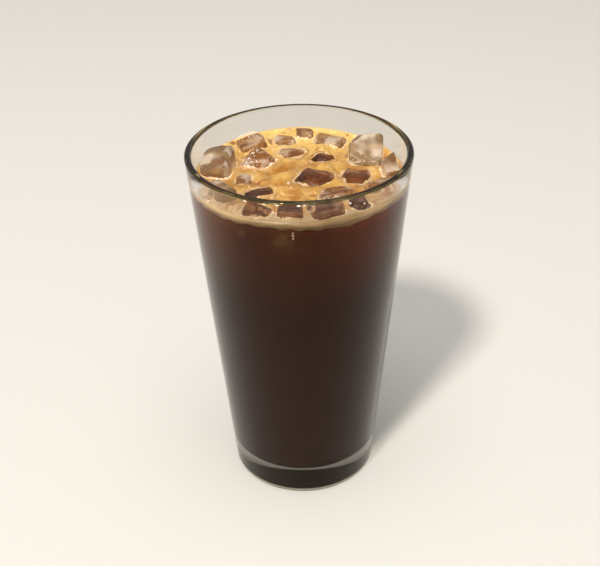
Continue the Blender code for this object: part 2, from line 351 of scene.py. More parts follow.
class Lump:
    """A lump of ice as its CAD faces' planes about its middle, with its own dimples."""

    def __init__(self, name):
        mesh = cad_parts[name].data
        mesh.calc_loop_triangles()
        places = np.empty(len(mesh.vertices) * 3)
        mesh.vertices.foreach_get("co", places)
        index = np.empty(len(mesh.loop_triangles) * 3, int)
        mesh.loop_triangles.foreach_get("vertices", index)
        corners = places.reshape(-1, 3)[index].reshape(-1, 3, 3)
        high, low = corners.max(axis=(0, 1)), corners.min(axis=(0, 1))
        self.middle, self.half = (high + low) / 2, (high - low) / 2
        self.normal = np.cross(corners[:, 1] - corners[:, 0], corners[:, 2] - corners[:, 0])
        self.normal /= np.linalg.norm(self.normal, axis=1, keepdims=True)
        self.depth = ((corners[:, 0] - self.middle) * self.normal).sum(axis=1)
        plane = np.column_stack([self.normal.round(3), self.depth.round(5)])
        first = np.unique(plane, axis=0, return_index=True)[1]
        self.normal, self.depth = self.normal[first], self.depth[first]
        draw = np.random.default_rng(sum(map(ord, name)))
        self.wave = draw.normal(size=(3, DIMPLE_WAVES)) * DIMPLE_PITCH
        self.phase = draw.uniform(0, math.tau, DIMPLE_WAVES)

    def reach(self, way):
        """The distance to the surface along unit directions is the soft least of the distances
        to the planes, (sum of (n.d / h) ^ p) ^ (-1 / p), where n is a plane's normal and h its
        distance from the middle, less dimples of a few sine waves."""
        facing = np.maximum(way @ self.normal.T, 0) / self.depth
        reach = (facing ** MELT_SHARPNESS).sum(axis=-1) ** (-1 / MELT_SHARPNESS)
        dimple = np.sin(way * reach[..., None] @ self.wave + self.phase).mean(axis=-1)
        return reach - ICE_DIMPLE * (1 + 2 * dimple)

    def edge(self, way):
        """How near a direction is to an edge of the lump, from 0 to 1: the second most facing
        plane's share of the most facing one's, raised to a power."""
        facing = np.sort(np.maximum(way @ self.normal.T, 0) / self.depth, axis=-1)
        return (facing[..., -2] / facing[..., -1]) ** EDGE_SHARPNESS

    def gap(self, points):
        """How far points lie outside the lump, measured from its middle."""
        away = points - self.middle
        far = np.linalg.norm(away, axis=-1)
        return far - self.reach(away / far[..., None])

    def surface(self, shrink=0.0):
        """Points on the lump's surface, from the directions of a grid on a box, and quads."""
        grid, quads = cube_grid(ICE_GRID)
        way = (grid / ICE_GRID * 2 - 1) * self.half
        way /= np.linalg.norm(way, axis=1, keepdims=True)
        return self.middle + way * (self.reach(way) - shrink)[:, None], quads


def share_of(material, name):
    """A number that was put on a piece's points, as a socket."""
    return add_node(material, "Attribute", {}, attribute_name=name).outputs["Fac"]


ICE_PAINTED_COFFEE_DARK = (0.030, 0.006, 0.008)
ICE_PAINTED_COFFEE_BROWN = (0.13, 0.058, 0.042)
ICE_AMBER = (0.39, 0.20, 0.076)
ICE_TAN = (0.37, 0.265, 0.150)
ICE_PAINTED_GREY_TOP = (0.29, 0.21, 0.125)
ICE_VEIN = (0.20, 0.095, 0.045)
ICE_EDGE_HIGHLIGHT = (0.90, 0.76, 0.60)
ICE_GLINT_WHITE = (1.0, 0.92, 0.84)
ICE_SHADOW = (0.92, 0.86, 0.78)
PAINTED_TOP_HEIGHTS = (0.1410, 0.1490)
GLINTS_END_AT = (0.1420, 0.1450)
MELT_WAVINESS = 0.0004

wet_ice, ice_shader = finish("wet_ice", (1, 1, 1), 0.05, IOR=1.31)
stain = share_of(wet_ice, "stain")
ice_height = add_node(wet_ice, "SeparateXYZ", {0: place_on(wet_ice)}).outputs["Z"]
# Painted shade: the least stained lumps are coloured near black and brown, the dark of the coffee
# seen through clear ice.
coffee_darkened_ice = blended(wet_ice, between(wet_ice, stain, 0.0, 0.3), ICE_PAINTED_COFFEE_DARK, ICE_PAINTED_COFFEE_BROWN)
amber_ice = blended(wet_ice, between(wet_ice, stain, 0.3, 0.62), coffee_darkened_ice, ICE_AMBER)
tan_ice = blended(wet_ice, between(wet_ice, stain, 0.6, 0.95), amber_ice, ICE_TAN)
# Painted light: stained lumps turn greyer towards their tops, for the pale table seen through them.
painted_top_share = product(wet_ice, between(wet_ice, ice_height, *PAINTED_TOP_HEIGHTS), stain)
grey_topped_ice = blended(wet_ice, painted_top_share, tan_ice, ICE_PAINTED_GREY_TOP)
veins = between(wet_ice, noise(wet_ice, 62, 2.0, (1, 1, 2.0)), 0.46, 0.62, 0.0, 0.50)
veined_ice = blended(wet_ice, product(wet_ice, veins, stain), grey_topped_ice, ICE_VEIN)
# Painted highlight: near the lumps' edges the colour turns whitish and less clear, as bright edges
# catching the light.
edge_highlight_mask = between(
    wet_ice, product(wet_ice, share_of(wet_ice, "edge"), noise(wet_ice, 140, 1.0)), 0.38, 0.62
)
edge_highlight_share = product(wet_ice, edge_highlight_mask, product(wet_ice, stain, 0.6, 0.15))
edge_lit_ice = blended(wet_ice, edge_highlight_share, veined_ice, ICE_EDGE_HIGHLIGHT)
# Painted glints: white dots low on the lumps that sparkle, standing in for points of light.
low_down = between(wet_ice, ice_height, *GLINTS_END_AT, 1.0, 0.0)
glint_zone = product(
    wet_ice,
    product(wet_ice, between(wet_ice, noise(wet_ice, 120, 1.0), 0.44, 0.50), low_down),
    share_of(wet_ice, "sparkle"),
)
painted_glints = product(wet_ice, between(wet_ice, noise(wet_ice, 1100, 1.0), 0.58, 0.64), glint_zone)
ice_colour = blended(wet_ice, painted_glints, edge_lit_ice, ICE_GLINT_WHITE)
# The ice is made less clear by its stain, by the painted edge highlights and by the painted glints.
milky = product(wet_ice, stain, 0.52, 0.04)
milky_and_highlighted = product(wet_ice, edge_highlight_share, 0.40, product(wet_ice, painted_glints, 0.5, milky))
clearness = between(wet_ice, milky_and_highlighted, 0.0, 1.0, 1.0, 0.0)
wet_ice.node_tree.links.new(ice_colour, ice_shader.inputs["Base Color"])
wet_ice.node_tree.links.new(clearness, ice_shader.inputs["Transmission Weight"])
bumped(wet_ice, ice_shader, noise(wet_ice, 140, 2.0), MELT_WAVINESS)
lets_lamps_through(wet_ice, ice_shader, ICE_SHADOW)


def put_share(made, name, values):
    """Puts one number on each point of a piece, for its material to read."""
    made.data.attributes.new(name, "FLOAT", "POINT").data.foreach_set("value", values)


def points_of(made):
    """A piece's points as an array."""
    places = np.empty(len(made.data.vertices) * 3)
    made.data.vertices.foreach_get("co", places)
    return places.reshape(-1, 3)


ice_names = sorted(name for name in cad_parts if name.startswith("ice_"))
lumps = [Lump(name) for name in ice_names]
for name, lump in zip(ice_names, lumps):
    made = piece(name + "_wet", *lump.surface(), wet_ice)
    away = points_of(made) - lump.middle
    put_share(made, "stain", np.full(len(away), STAIN_AND_SPARKLE[name][0]))
    put_share(made, "sparkle", np.full(len(away), STAIN_AND_SPARKLE[name][1]))
    put_share(made, "edge", lump.edge(away / np.linalg.norm(away, axis=1, keepdims=True)))
    stands_for(made, "ice", name)

# The coffee is strong and black, so dark that light gets only a few millimetres in. It fills
# the well, reaches just into the wall so that no air shows, and has hollows round the ice. Its
# colour has painted light in it: darkest low down, and redder towards the top and at the left and
# right sides.

COFFEE_LEVEL = 0.1370
COFFEE_INTO_WALL = 0.0002
COFFEE_WALL_POINTS = 30
COFFEE_FLOOR_POINTS = 8
COFFEE_TOP_POINTS = 10


def coffee_section():
    """The well's own section, a little outside it: floor, fillet arc, wall and level top."""
    fillet_z = WELL_FLOOR + WELL_FILLET
    fillet_r = inner_radius(fillet_z) - WELL_FILLET
    fillet = arc(fillet_r, fillet_z, WELL_FILLET + COFFEE_INTO_WALL, -90, 0, FILLET_POINTS)
    wall = wall_line(
        lambda z: inner_radius(z) + COFFEE_INTO_WALL, fillet_z, COFFEE_LEVEL, COFFEE_WALL_POINTS
    )[1:]
    floor_r = np.linspace(0, fillet[0, 0], COFFEE_FLOOR_POINTS)[:-1]
    top_r = np.linspace(wall[-1, 0], 0, COFFEE_TOP_POINTS)[1:]
    floor = np.column_stack([floor_r, np.full(len(floor_r), fillet[0, 1])])
    top = np.column_stack([top_r, np.full(len(top_r), COFFEE_LEVEL)])
    return np.concatenate([floor, fillet, wall, top])


def cut_hollows(made):
    """Takes every lump, slightly shrunk, out of a piece, and keeps the result as its mesh."""
    cutters = []
    for lump in lumps:
        cutters.append(piece("cutter", *lump.surface(ICE_INTO_DRINK), made.data.materials[0]))
        cut = made.modifiers.new("hollow", "BOOLEAN")
        cut.operation = "DIFFERENCE"
        cut.solver = "MANIFOLD"
        cut.object = cutters[-1]
    bpy.context.view_layer.update()
    whole = made.evaluated_get(bpy.context.evaluated_depsgraph_get())
    made.data = bpy.data.meshes.new_from_object(whole)
    made.modifiers.clear()
    for cutter in cutters:
        bpy.data.objects.remove(cutter)


def from_axis(material):
    """The distance from the drink's axis, as a socket."""
    place = place_on(material)
    level = add_node(material, "VectorMath", {0: place, 1: (1, 1, 0)}, operation="MULTIPLY")
    length = add_node(material, "VectorMath", {0: level.outputs[0]}, operation="LENGTH")
    return length.outputs["Value"]


FRAYED_BY = 0.008


def near_point(material, centre, inside, outside):
    """1 within one distance of a point, 0 past another, with an edge broken up by noise."""
    place = place_on(material)
    away = add_node(material, "VectorMath", {0: place, 1: centre}, operation="DISTANCE")
    frayed = product(material, noise(material, 300, 4.0), FRAYED_BY, away.outputs["Value"])
    return between(material, frayed, inside + FRAYED_BY / 2, outside + FRAYED_BY / 2, 1.0, 0.0)


COFFEE_LOW_DOWN = (0.018, 0.005, 0.0035)
COFFEE_MIDDLE = (0.043, 0.008, 0.0018)
COFFEE_RIGHT_GLOW = (0.150, 0.023, 0.004)
COFFEE_LEFT_GLOW = (0.130, 0.032, 0.005)
COFFEE_SWIRL = (0.085, 0.032, 0.010)
COFFEE_UNDER_ICE = (0.40, 0.18, 0.06)
COFFEE_PAINTED_GLOW_HEIGHTS = (0.092, 0.137)
RIGHT_PAINTED_GLOW_SPAN = (0.005, 0.038)
LEFT_PAINTED_GLOW_SPAN = (-0.038, -0.018)
HOLLOWS_FROM_HEIGHT = (0.1240, 0.1255)
HOLLOWS_WITHIN_RADIUS = (0.0372, 0.0384)
SUNK_ICE_COLOUR = (0.085, 0.038, 0.012)
SUNK_ICE_EDGE = 2.6
SUNK_ICE = (((-0.0075, -0.0385, 0.1315), 0.0016), ((-0.0205, -0.0335, 0.1330), 0.0010))

black_coffee, coffee_shader = finish(
    "black_coffee", (0.03, 0.013, 0.008), 0.6, Specular_IOR_Level=0.0
)
coffee_place = add_node(black_coffee, "SeparateXYZ", {0: place_on(black_coffee)})
# Painted light: the coffee is darkest low down and redder near the top and at the left and right
# sides, where light would show through it.
glow_height_share = between(black_coffee, coffee_place.outputs["Z"], *COFFEE_PAINTED_GLOW_HEIGHTS)
right_glow_share = between(black_coffee, coffee_place.outputs["X"], *RIGHT_PAINTED_GLOW_SPAN)
left_glow_share = between(black_coffee, coffee_place.outputs["X"], *LEFT_PAINTED_GLOW_SPAN, 1.0, 0.0)
side_glow_coffee = blended(black_coffee, right_glow_share, COFFEE_MIDDLE, COFFEE_RIGHT_GLOW)
side_glow_coffee = blended(black_coffee, left_glow_share, side_glow_coffee, COFFEE_LEFT_GLOW)
swirl = between(black_coffee, noise(black_coffee, 55, 4.0, (1, 1, 0.6)), 0.50, 0.80)
swirled = blended(black_coffee, swirl, side_glow_coffee, COFFEE_SWIRL)
painted_glow_coffee = blended(black_coffee, glow_height_share, COFFEE_LOW_DOWN, swirled)
for centre, size in SUNK_ICE:
    patch = near_point(black_coffee, centre, size, size * SUNK_ICE_EDGE)
    painted_glow_coffee = blended(black_coffee, patch, painted_glow_coffee, SUNK_ICE_COLOUR)
within = between(black_coffee, from_axis(black_coffee), *HOLLOWS_WITHIN_RADIUS, 1.0, 0.0)
high_up = between(black_coffee, coffee_place.outputs["Z"], *HOLLOWS_FROM_HEIGHT)
painted_glow_coffee = blended(black_coffee, product(black_coffee, within, high_up), painted_glow_coffee, COFFEE_UNDER_ICE)
black_coffee.node_tree.links.new(painted_glow_coffee, coffee_shader.inputs["Base Color"])
coffee = piece("black_coffee", *turned(coffee_section()), black_coffee)
cut_hollows(coffee)
stands_for(coffee, "coffee", "coffee")

# The foam is a layer of fine wet bubbles on the coffee, a few millimetres thick. Pouring left it
# in folds and in mounds over ice just under it. It creeps up the ice and up the wall, where it is
# highest at the front of the glass. Its colour has painted light and shade in it: paler where it
# stands high and darker where it lies low, paler and yellower at the back, darker on the wall at
# the front than round the sides, and shaded in a broken line a little way out from the ice.

FOAM_LEVEL = 0.1384
FOAM_INTO_WALL = 0.00028
FOAM_GRID = 250
WALL_AZIMUTHS = (-180, -155, -132, -112, -90, -65, -41, -10, 30, 60, 90, 115, 150, 180)
WALL_TOPS_MM = (
    139.6, 139.4, 139.6, 140.0, 140.4, 141.0, 140.8, 140.0, 139.2, 139.4, 139.8, 139.4, 139.0, 139.6
)
WALL_FEET_MM = (
    138.0, 136.8, 136.4, 137.1, 136.8, 136.1, 137.5, 137.2, 136.8, 136.4, 136.8, 136.2, 136.6, 138.0
)
WALL_FOOT_WAVE = 0.0007
WALL_CREEP = 0.0008
ICE_CREEP = 0.0009
ICE_LAP = 0.0011
ICE_CREEP_WIDTH = 0.0009
ICE_OVERLAP_SLOPE = 1.6
ICE_STANDS_CLEAR = 0.0020
LUMP_NEIGHBOURHOOD = 0.004
# Of each field of waves: its length, how many waves it sums, and the seed of its bearings.
SWELLS = (0.016, 7, 2)
SWELL_RISE = 0.0003
RIPPLES = (0.0026, 9, 3)
RIPPLE_RISE = 0.00012
UNEVENNESS_AT_ICE = (0.0060, 5, 13)
UNEVENNESS_AT_FOOT = (0.006, 6, 8)
BURIED_ICE = 46
BURIED_WITHIN_RADIUS = 0.038
BURIED_RADIUS = (0.0030, 0.0070)
BURIED_RISE = (0.0004, 0.0020)
BURIED_TILT = 0.20
BURIED_LONGER_BY = 1.3
FOLD_RISE = 0.0006
FOLD_STEEPNESS = 0.10
FOLD_WAVES = ((0.014, 17), (0.010, 31))
UNDERSIDE_INSET = 0.9
UNDERSIDE_DEPTH = 0.0006


def disc_grid(count):
    """A square grid pressed into a disc of radius 1, ring by ring: a point's radius is its
    larger coordinate and its angle is an eighth turn times the smaller over the larger."""
    line = np.linspace(-1, 1, count + 1)
    x, y = np.meshgrid(line, line, indexing="ij")
    flat = np.abs(x) >= np.abs(y)
    large = np.where(flat, x, y)
    small = np.where(flat, y, x)
    turn = np.divide(small, large, out=np.zeros_like(small), where=large != 0) * math.pi / 4
    along, across = large * np.cos(turn), large * np.sin(turn)
    return np.where(flat, along, across), np.where(flat, across, along)


def waves(x, y, length, count, seed):
    """The mean of that many sine waves of about one length, each with its own bearing."""
    draw = np.random.default_rng(seed)
    bearing = draw.uniform(0, math.tau, count)
    pitch = math.tau / (length * draw.uniform(0.7, 1.4, count))
    phase = draw.uniform(0, math.tau, count)
    along = x[..., None] * np.cos(bearing) + y[..., None] * np.sin(bearing)
    return np.sin(along * pitch + phase).mean(axis=-1)


def buried_ice(x, y):
    """The foam's rise over ice just under it: the highest of some tilted flats, scattered
    evenly over the disc, each of which falls away smoothly with the fourth root of the sum of
    the fourth powers of the distances along its sides."""
    draw = np.random.default_rng(21)
    away = BURIED_WITHIN_RADIUS * np.sqrt(draw.uniform(0, 1, BURIED_ICE))
    bearing = draw.uniform(0, math.tau, BURIED_ICE)
    rise = np.zeros_like(x)
    for middle_x, middle_y in zip(away * np.cos(bearing), away * np.sin(bearing)):
        radius, high = draw.uniform(*BURIED_RADIUS), draw.uniform(*BURIED_RISE)
        slope_x, slope_y = draw.normal(0, BURIED_TILT, 2)
        along, across = x - middle_x, y - middle_y
        turn = draw.uniform(0, math.tau)
        side = along * math.cos(turn) + across * math.sin(turn)
        front = across * math.cos(turn) - along * math.sin(turn)
        far = (side ** 4 + (BURIED_LONGER_BY * front) ** 4) ** 0.25
        fall = np.clip(far / radius / BURIED_LONGER_BY, 0, 1)
        flat = (high + slope_x * along + slope_y * across) * (1 - fall * fall * (3 - 2 * fall))
        rise = np.maximum(rise, flat)
    return rise


def folds(x, y):
    """Where the foam has run over itself it lies a step higher: a smooth step of each of two
    wave fields from 0 to 1 where the field passes zero, so that its edge winds about."""
    rise = np.zeros_like(x)
    for length, seed in FOLD_WAVES:
        share = np.clip(waves(x, y, length, 6, seed) / FOLD_STEEPNESS + 0.5, 0, 1)
        rise += FOLD_RISE * share * share * (3 - 2 * share)
    return rise


def foam_height(x, y):
    """Level, plus swells, plus folds and buried ice where no lump stands out close by, plus a
    creep up the wall and up each lump that dies away as exp(-distance / width), less a steep
    slope inside a lump's outline, so that foam laps over the edge of the ice here and there."""
    azimuth = np.degrees(np.arctan2(y, x))
    wall_top = np.interp(azimuth, WALL_AZIMUTHS, WALL_TOPS_MM) / 1000
    from_wall = np.maximum(inner_radius(FOAM_LEVEL) - np.hypot(x, y), 0)
    uneven = waves(x, y, *UNEVENNESS_AT_ICE)
    points = np.stack([x, y, np.full_like(x, FOAM_LEVEL)], axis=-1)
    nearest, creep = np.full_like(x, 0.02), np.zeros_like(x)
    for lump in lumps:
        far = np.hypot(x - lump.middle[0], y - lump.middle[1])
        near = far < lump.half[:2].max() * 1.5 + LUMP_NEIGHBOURHOOD
        gap = lump.gap(points[near]) + ICE_LAP * uneven[near]
        climb = ICE_CREEP * (1 + 0.8 * uneven[near])
        climb *= np.exp(-np.maximum(gap, 0) / ICE_CREEP_WIDTH)
        creep[near] += climb + ICE_OVERLAP_SLOPE * np.minimum(gap, 0)
        nearest[near] = np.minimum(nearest[near], gap)
    open_foam = 1 - np.exp(-np.maximum(nearest, 0) / ICE_STANDS_CLEAR)
    height = FOAM_LEVEL + SWELL_RISE * waves(x, y, *SWELLS) + RIPPLE_RISE * waves(x, y, *RIPPLES)
    height = height + (buried_ice(x, y) + folds(x, y)) * open_foam
    return height + (wall_top - height) * np.exp(-from_wall / WALL_CREEP) + creep


def foam_body():
    """The disc's top at its height, a skirt down the wall and a flat underside, as one body."""
    unit_x, unit_y = disc_grid(FOAM_GRID)
    radius = inner_radius(FOAM_LEVEL) + FOAM_INTO_WALL
    x, y = unit_x * radius, unit_y * radius
    top = np.stack([x, y, foam_height(x, y)], axis=-1).reshape(-1, 3)
    place = np.arange(x.size).reshape(x.shape)
    quads = np.stack([place[:-1, :-1], place[1:, :-1], place[1:, 1:], place[:-1, 1:]], -1)
    rim = np.concatenate([place[:-1, 0], place[-1, :-1], place[:0:-1, -1], place[0, :0:-1]])
    azimuth = np.degrees(np.arctan2(top[rim, 1], top[rim, 0]))
    foot_z = np.interp(azimuth, WALL_AZIMUTHS, WALL_FEET_MM) / 1000
    foot_z += WALL_FOOT_WAVE * waves(top[rim, 0], top[rim, 1], *UNEVENNESS_AT_FOOT)
    foot = top[rim]
    foot[:, :2] *= ((inner_radius(foot_z) + FOAM_INTO_WALL) / radius)[:, None]
    foot[:, 2] = foot_z
    top[rim, :2] *= ((inner_radius(top[rim, 2]) + FOAM_INTO_WALL) / radius)[:, None]
    inner = foot * (UNDERSIDE_INSET, UNDERSIDE_INSET, 0)
    inner[:, 2] = COFFEE_LEVEL - UNDERSIDE_DEPTH
    foot_place = x.size + np.arange(len(rim))
    inner_place = foot_place + len(rim)
    next_foot, next_inner = np.roll(foot_place, -1), np.roll(inner_place, -1)
    skirt = np.stack([rim, np.roll(rim, -1), next_foot, foot_place], axis=-1)
    under = np.stack([foot_place, next_foot, next_inner, inner_place], axis=-1)
    faces = np.concatenate([quads.reshape(-1, 4), skirt, under]).tolist()
    return np.concatenate([top, foot, inner]), faces + [inner_place.tolist()]


FOAM_DARK_AND_SHADED = (0.46, 0.190, 0.026)
FOAM_PALE_AND_LIT = (0.73, 0.425, 0.110)
FOAM_FAR_LIT = (0.92, 0.595, 0.180)
FOAM_NEAR = (0.50, 0.340, 0.195)
FOAM_BESIDE_WALL = (0.56, 0.395, 0.245)
FOAM_BROWN = (0.36, 0.135, 0.040)
FOAM_HOLE = (0.20, 0.070, 0.020)
FOAM_CRACK_SHADE = (0.30, 0.115, 0.035)
FOAM_ROUND_ICE = (0.94, 0.74, 0.46)
FRONT_STREAKS_PAINTED_DARKER = ((0.29, 0.175, 0.075), (0.42, 0.275, 0.130))
SIDE_STREAKS_PAINTED_LIGHTER = ((0.50, 0.33, 0.165), (0.72, 0.50, 0.27))
FOAM_ON_BACK_WALL_LIT = (0.82, 0.55, 0.20)
PAINTED_CREST_HEIGHTS = (0.1381, 0.1400)
FAR_SIDE_LIT_SPAN = (0.004, 0.032)
NEAR_SIDE = (-0.036, -0.024)
BESIDE_WALL_FROM_RADIUS = (0.0310, 0.0370)
BESIDE_WALL_IN_FRONT = (-0.016, 0.000)
ON_WALL_FROM_RADIUS = (0.0398, 0.0404)
WALL_SIDE_LIGHT_SPAN = (-0.0395, -0.0310)
FOAM_HOLES = (0.0265, -0.0120, 0.1390)
FROTH_CELLS = 1400.0
FROTH_DEPTH = 0.00012
OUTLINE_WIDTH = 0.0008
CRACK_SHADE_AWAY = 0.0015
CRACK_SHADE_WIDTH = 0.0005

wet_foam, foam_shader = finish("wet_foam", (0.62, 0.31, 0.085), 0.30)
foam_place = add_node(wet_foam, "SeparateXYZ", {0: place_on(wet_foam)})
at_wall = between(wet_foam, from_axis(wet_foam), *ON_WALL_FROM_RADIUS)
mottle = between(wet_foam, noise(wet_foam, 150, 6.0), 0.34, 0.66)
# Painted light and shade: besides its own mottle, the foam is paler where it stands higher and
# darker where it lies low.
painted_crest_light = between(wet_foam, foam_place.outputs["Z"], *PAINTED_CREST_HEIGHTS)
mottled_and_lit = product(wet_foam, mottle, 0.7, product(wet_foam, painted_crest_light, 0.5))
golden = blended(wet_foam, between(wet_foam, mottled_and_lit, 0.0, 1.2), FOAM_DARK_AND_SHADED, FOAM_PALE_AND_LIT)
# Painted light: on its top and on the wall the foam turns paler and yellower towards the back, as a
# sheen of light from behind.
far_side_lit = between(wet_foam, foam_place.outputs["Y"], *FAR_SIDE_LIT_SPAN)
far_lit_foam = blended(wet_foam, far_side_lit, golden, FOAM_FAR_LIT)
near_side = between(wet_foam, foam_place.outputs["Y"], *NEAR_SIDE, 0.7, 0.0)
creamed = blended(wet_foam, near_side, far_lit_foam, FOAM_NEAR)
beside_wall = product(
    wet_foam,
    between(wet_foam, from_axis(wet_foam), *BESIDE_WALL_FROM_RADIUS),
    between(wet_foam, foam_place.outputs["Y"], *BESIDE_WALL_IN_FRONT, 0.8, 0.0),
)
creamed = blended(wet_foam, beside_wall, creamed, FOAM_BESIDE_WALL)
browned = between(wet_foam, noise(wet_foam, 120, 6.0, (1, 1.5, 1)), 0.60, 0.72)
tanned = blended(wet_foam, browned, creamed, FOAM_BROWN)
holes = product(
    wet_foam,
    near_point(wet_foam, FOAM_HOLES, 0.002, 0.006),
    between(wet_foam, noise(wet_foam, 420, 2.0), 0.50, 0.56),
)
holed = blended(wet_foam, holes, tanned, FOAM_HOLE)
# Cracks and painted shade: a broken brown line a little way out from each lump, partly cracks in
# the foam and partly shade beside the ice.
here_and_there = between(wet_foam, noise(wet_foam, 110, 2.0), 0.50, 0.66)
cracks_and_shade = product(wet_foam, share_of(wet_foam, "crack_and_shade"), here_and_there)
cracked_and_shaded = blended(wet_foam, cracks_and_shade, holed, FOAM_CRACK_SHADE)
mostly = between(wet_foam, noise(wet_foam, 130, 2.0), 0.36, 0.56)
outlines = product(wet_foam, share_of(wet_foam, "at_ice"), mostly)
outlined = blended(wet_foam, outlines, cracked_and_shaded, FOAM_ROUND_ICE)
runs_down = between(wet_foam, noise(wet_foam, 90, 3.0, (1, 1, 9)), 0.3, 0.7)
# Painted light and shade: the foam on the wall is painted darker at the front and paler round the
# sides, against how the light falls on it.
front_streaks_darker = blended(wet_foam, runs_down, *FRONT_STREAKS_PAINTED_DARKER)
side_streaks_lighter = blended(wet_foam, runs_down, *SIDE_STREAKS_PAINTED_LIGHTER)
side_light_share = between(wet_foam, foam_place.outputs["Y"], *WALL_SIDE_LIGHT_SPAN)
streaked = blended(wet_foam, side_light_share, front_streaks_darker, side_streaks_lighter)
wall_foam = blended(wet_foam, far_side_lit, streaked, FOAM_ON_BACK_WALL_LIT)
foam_colour = blended(wet_foam, at_wall, outlined, wall_foam)
wet_foam.node_tree.links.new(foam_colour, foam_shader.inputs["Base Color"])
froth = add_node(wet_foam, "TexVoronoi", {"Vector": place_on(wet_foam), "Scale": FROTH_CELLS})
froth_height = product(wet_foam, froth.outputs["Distance"], -0.5, noise(wet_foam, 600, 3.0))
bumped(wet_foam, foam_shader, froth_height, FROTH_DEPTH)
foam = piece("wet_foam", *foam_body(), wet_foam)
cut_hollows(foam)
foam_points = points_of(foam)
from_ice = np.min([lump.gap(foam_points) for lump in lumps], axis=0)
put_share(foam, "at_ice", np.exp(-np.maximum(from_ice, 0) / OUTLINE_WIDTH))
put_share(foam, "crack_and_shade", np.exp(-((from_ice - CRACK_SHADE_AWAY) / CRACK_SHADE_WIDTH) ** 2))
stands_for(foam, "foam", "foam")

# Bubbles stand in the foam where it meets the ice and the glass, each a wet skin round air
# that catches the light. They are small balls, half sunk, in loose rows and in clusters.

BUBBLES_AT_ICE = 10
BUBBLES_AT_WALL = 80
BUBBLES_LOOSE = 110
BUBBLE_RADIUS = 0.00024
BUBBLE_SPREAD = 0.4
STRAY_FROM_ICE = 0.0005
STRAY_IN_CLUSTER = 0.0007
STRAY_FROM_WALL = 0.0004
BUBBLE_INTO_ICE = 0.0001
# For each cluster: its lump, the bearing from the lump and its spread in degrees, its bubbles.
CLUSTERS = (
    ("ice_left_inner", -125, 22, 46),
    ("ice_left_inner", -45, 16, 24),
    ("ice_left", -85, 26, 40),
    ("ice_right", -50, 12, 26),
    ("ice_right_wall", 110, 14, 16),
    ("ice_back_left", -90, 30, 30),
    ("ice_back_small", -80, 40, 34),
    ("ice_back_long", -90, 40, 40),
    ("ice_front_mound", 90, 40, 24),
    ("ice_front_round", -90, 30, 18),
)
BALL_RINGS = 7
BALL_AROUND = 10


def balls(centres, radii, around=BALL_AROUND, rings=BALL_RINGS):
    """One closed ball for each centre: points at centre + radius x (sin a cos t, sin a sin t,
    cos a) for rings a and turns t, where the first and last ring are the poles."""
    ring = np.linspace(0, math.pi, rings)[:, None]
    turn = np.linspace(0, math.tau, around, endpoint=False)
    unit = np.stack(
        [np.sin(ring) * np.cos(turn), np.sin(ring) * np.sin(turn), np.cos(ring) + 0 * turn], -1
    ).reshape(-1, 3)
    row, column = np.meshgrid(np.arange(rings - 1), np.arange(around), indexing="ij")
    here, beside = row * around + column, row * around + (column + 1) % around
    quads = np.stack([here, beside, beside + around, here + around], -1).reshape(-1, 4)
    points = centres[:, None, :] + radii[:, None, None] * unit
    faces = quads + len(unit) * np.arange(len(centres))[:, None, None]
    return points.reshape(-1, 3), faces.reshape(-1, 4).tolist()


def beside_lump(lump, bearing, away):
    """Points in plan that lie some way off a lump, at bearings from its middle."""
    way = np.column_stack([np.cos(bearing), np.sin(bearing), np.zeros_like(bearing)])
    reach = np.linalg.norm(lump.reach(way)[:, None] * way, axis=1) + away
    return lump.middle[:2] + way[:, :2] * reach[:, None]


def bubble_places():
    """Round each lump, thicker at the clusters' bearings, along the wall, and anywhere on the
    foam. A bubble stands at the foam's height there, unless a lump or the wall is in the way."""
    draw = np.random.default_rng(11)
    found = []
    for lump in lumps:
        bearing = draw.uniform(0, math.tau, BUBBLES_AT_ICE)
        found.append(beside_lump(lump, bearing, draw.exponential(STRAY_FROM_ICE, BUBBLES_AT_ICE)))
    for name, bearing, spread, count in CLUSTERS:
        bearings = np.radians(bearing + draw.normal(0, spread, count))
        lump = lumps[ice_names.index(name)]
        found.append(beside_lump(lump, bearings, draw.exponential(STRAY_IN_CLUSTER, count)))
    bearing = draw.uniform(0, math.tau, BUBBLES_AT_WALL + BUBBLES_LOOSE)
    edge = inner_radius(FOAM_LEVEL) - STRAY_FROM_WALL
    away = np.concatenate([
        edge - draw.exponential(STRAY_FROM_WALL, BUBBLES_AT_WALL),
        edge * np.sqrt(draw.uniform(0, 1, BUBBLES_LOOSE)),
    ])
    found.append(np.column_stack([np.cos(bearing) * away, np.sin(bearing) * away]))
    plan = np.concatenate(found)
    plan = plan[np.hypot(plan[:, 0], plan[:, 1]) < edge]
    places = np.column_stack([plan, foam_height(plan[:, 0], plan[:, 1])])
    radii = BUBBLE_RADIUS * draw.lognormal(0, BUBBLE_SPREAD, len(places))
    clear = np.all([lump.gap(places) > -BUBBLE_INTO_ICE for lump in lumps], axis=0)
    return places[clear], radii[clear]


bubble_skin, bubble_shader = finish(
    "bubble_skin", (1.0, 0.95, 0.88), 0.02, IOR=1.28, Transmission_Weight=0.6
)
bumped(bubble_skin, bubble_shader, noise(bubble_skin, 2500, 1.0), 0.00002)
lets_lamps_through(bubble_skin, bubble_shader, (0.97, 0.94, 0.88))
bubbles = piece("foam_bubbles", *balls(*bubble_places()), bubble_skin)
stands_for(bubbles, "foam")

# Three bubbles of air cling to the inside of the wall in a short chain, just under the foam. Each
# is a ball with a spotted skin, set a little way into the wall so that no coffee hides it.

CHAIN_AZIMUTH = -93.8
CHAIN_HEIGHTS = np.array([0.1354, 0.1341, 0.1328])
CHAIN_RADII = np.array([0.00055, 0.00065, 0.00048])
CHAIN_AROUND = 24
CHAIN_RINGS = 13


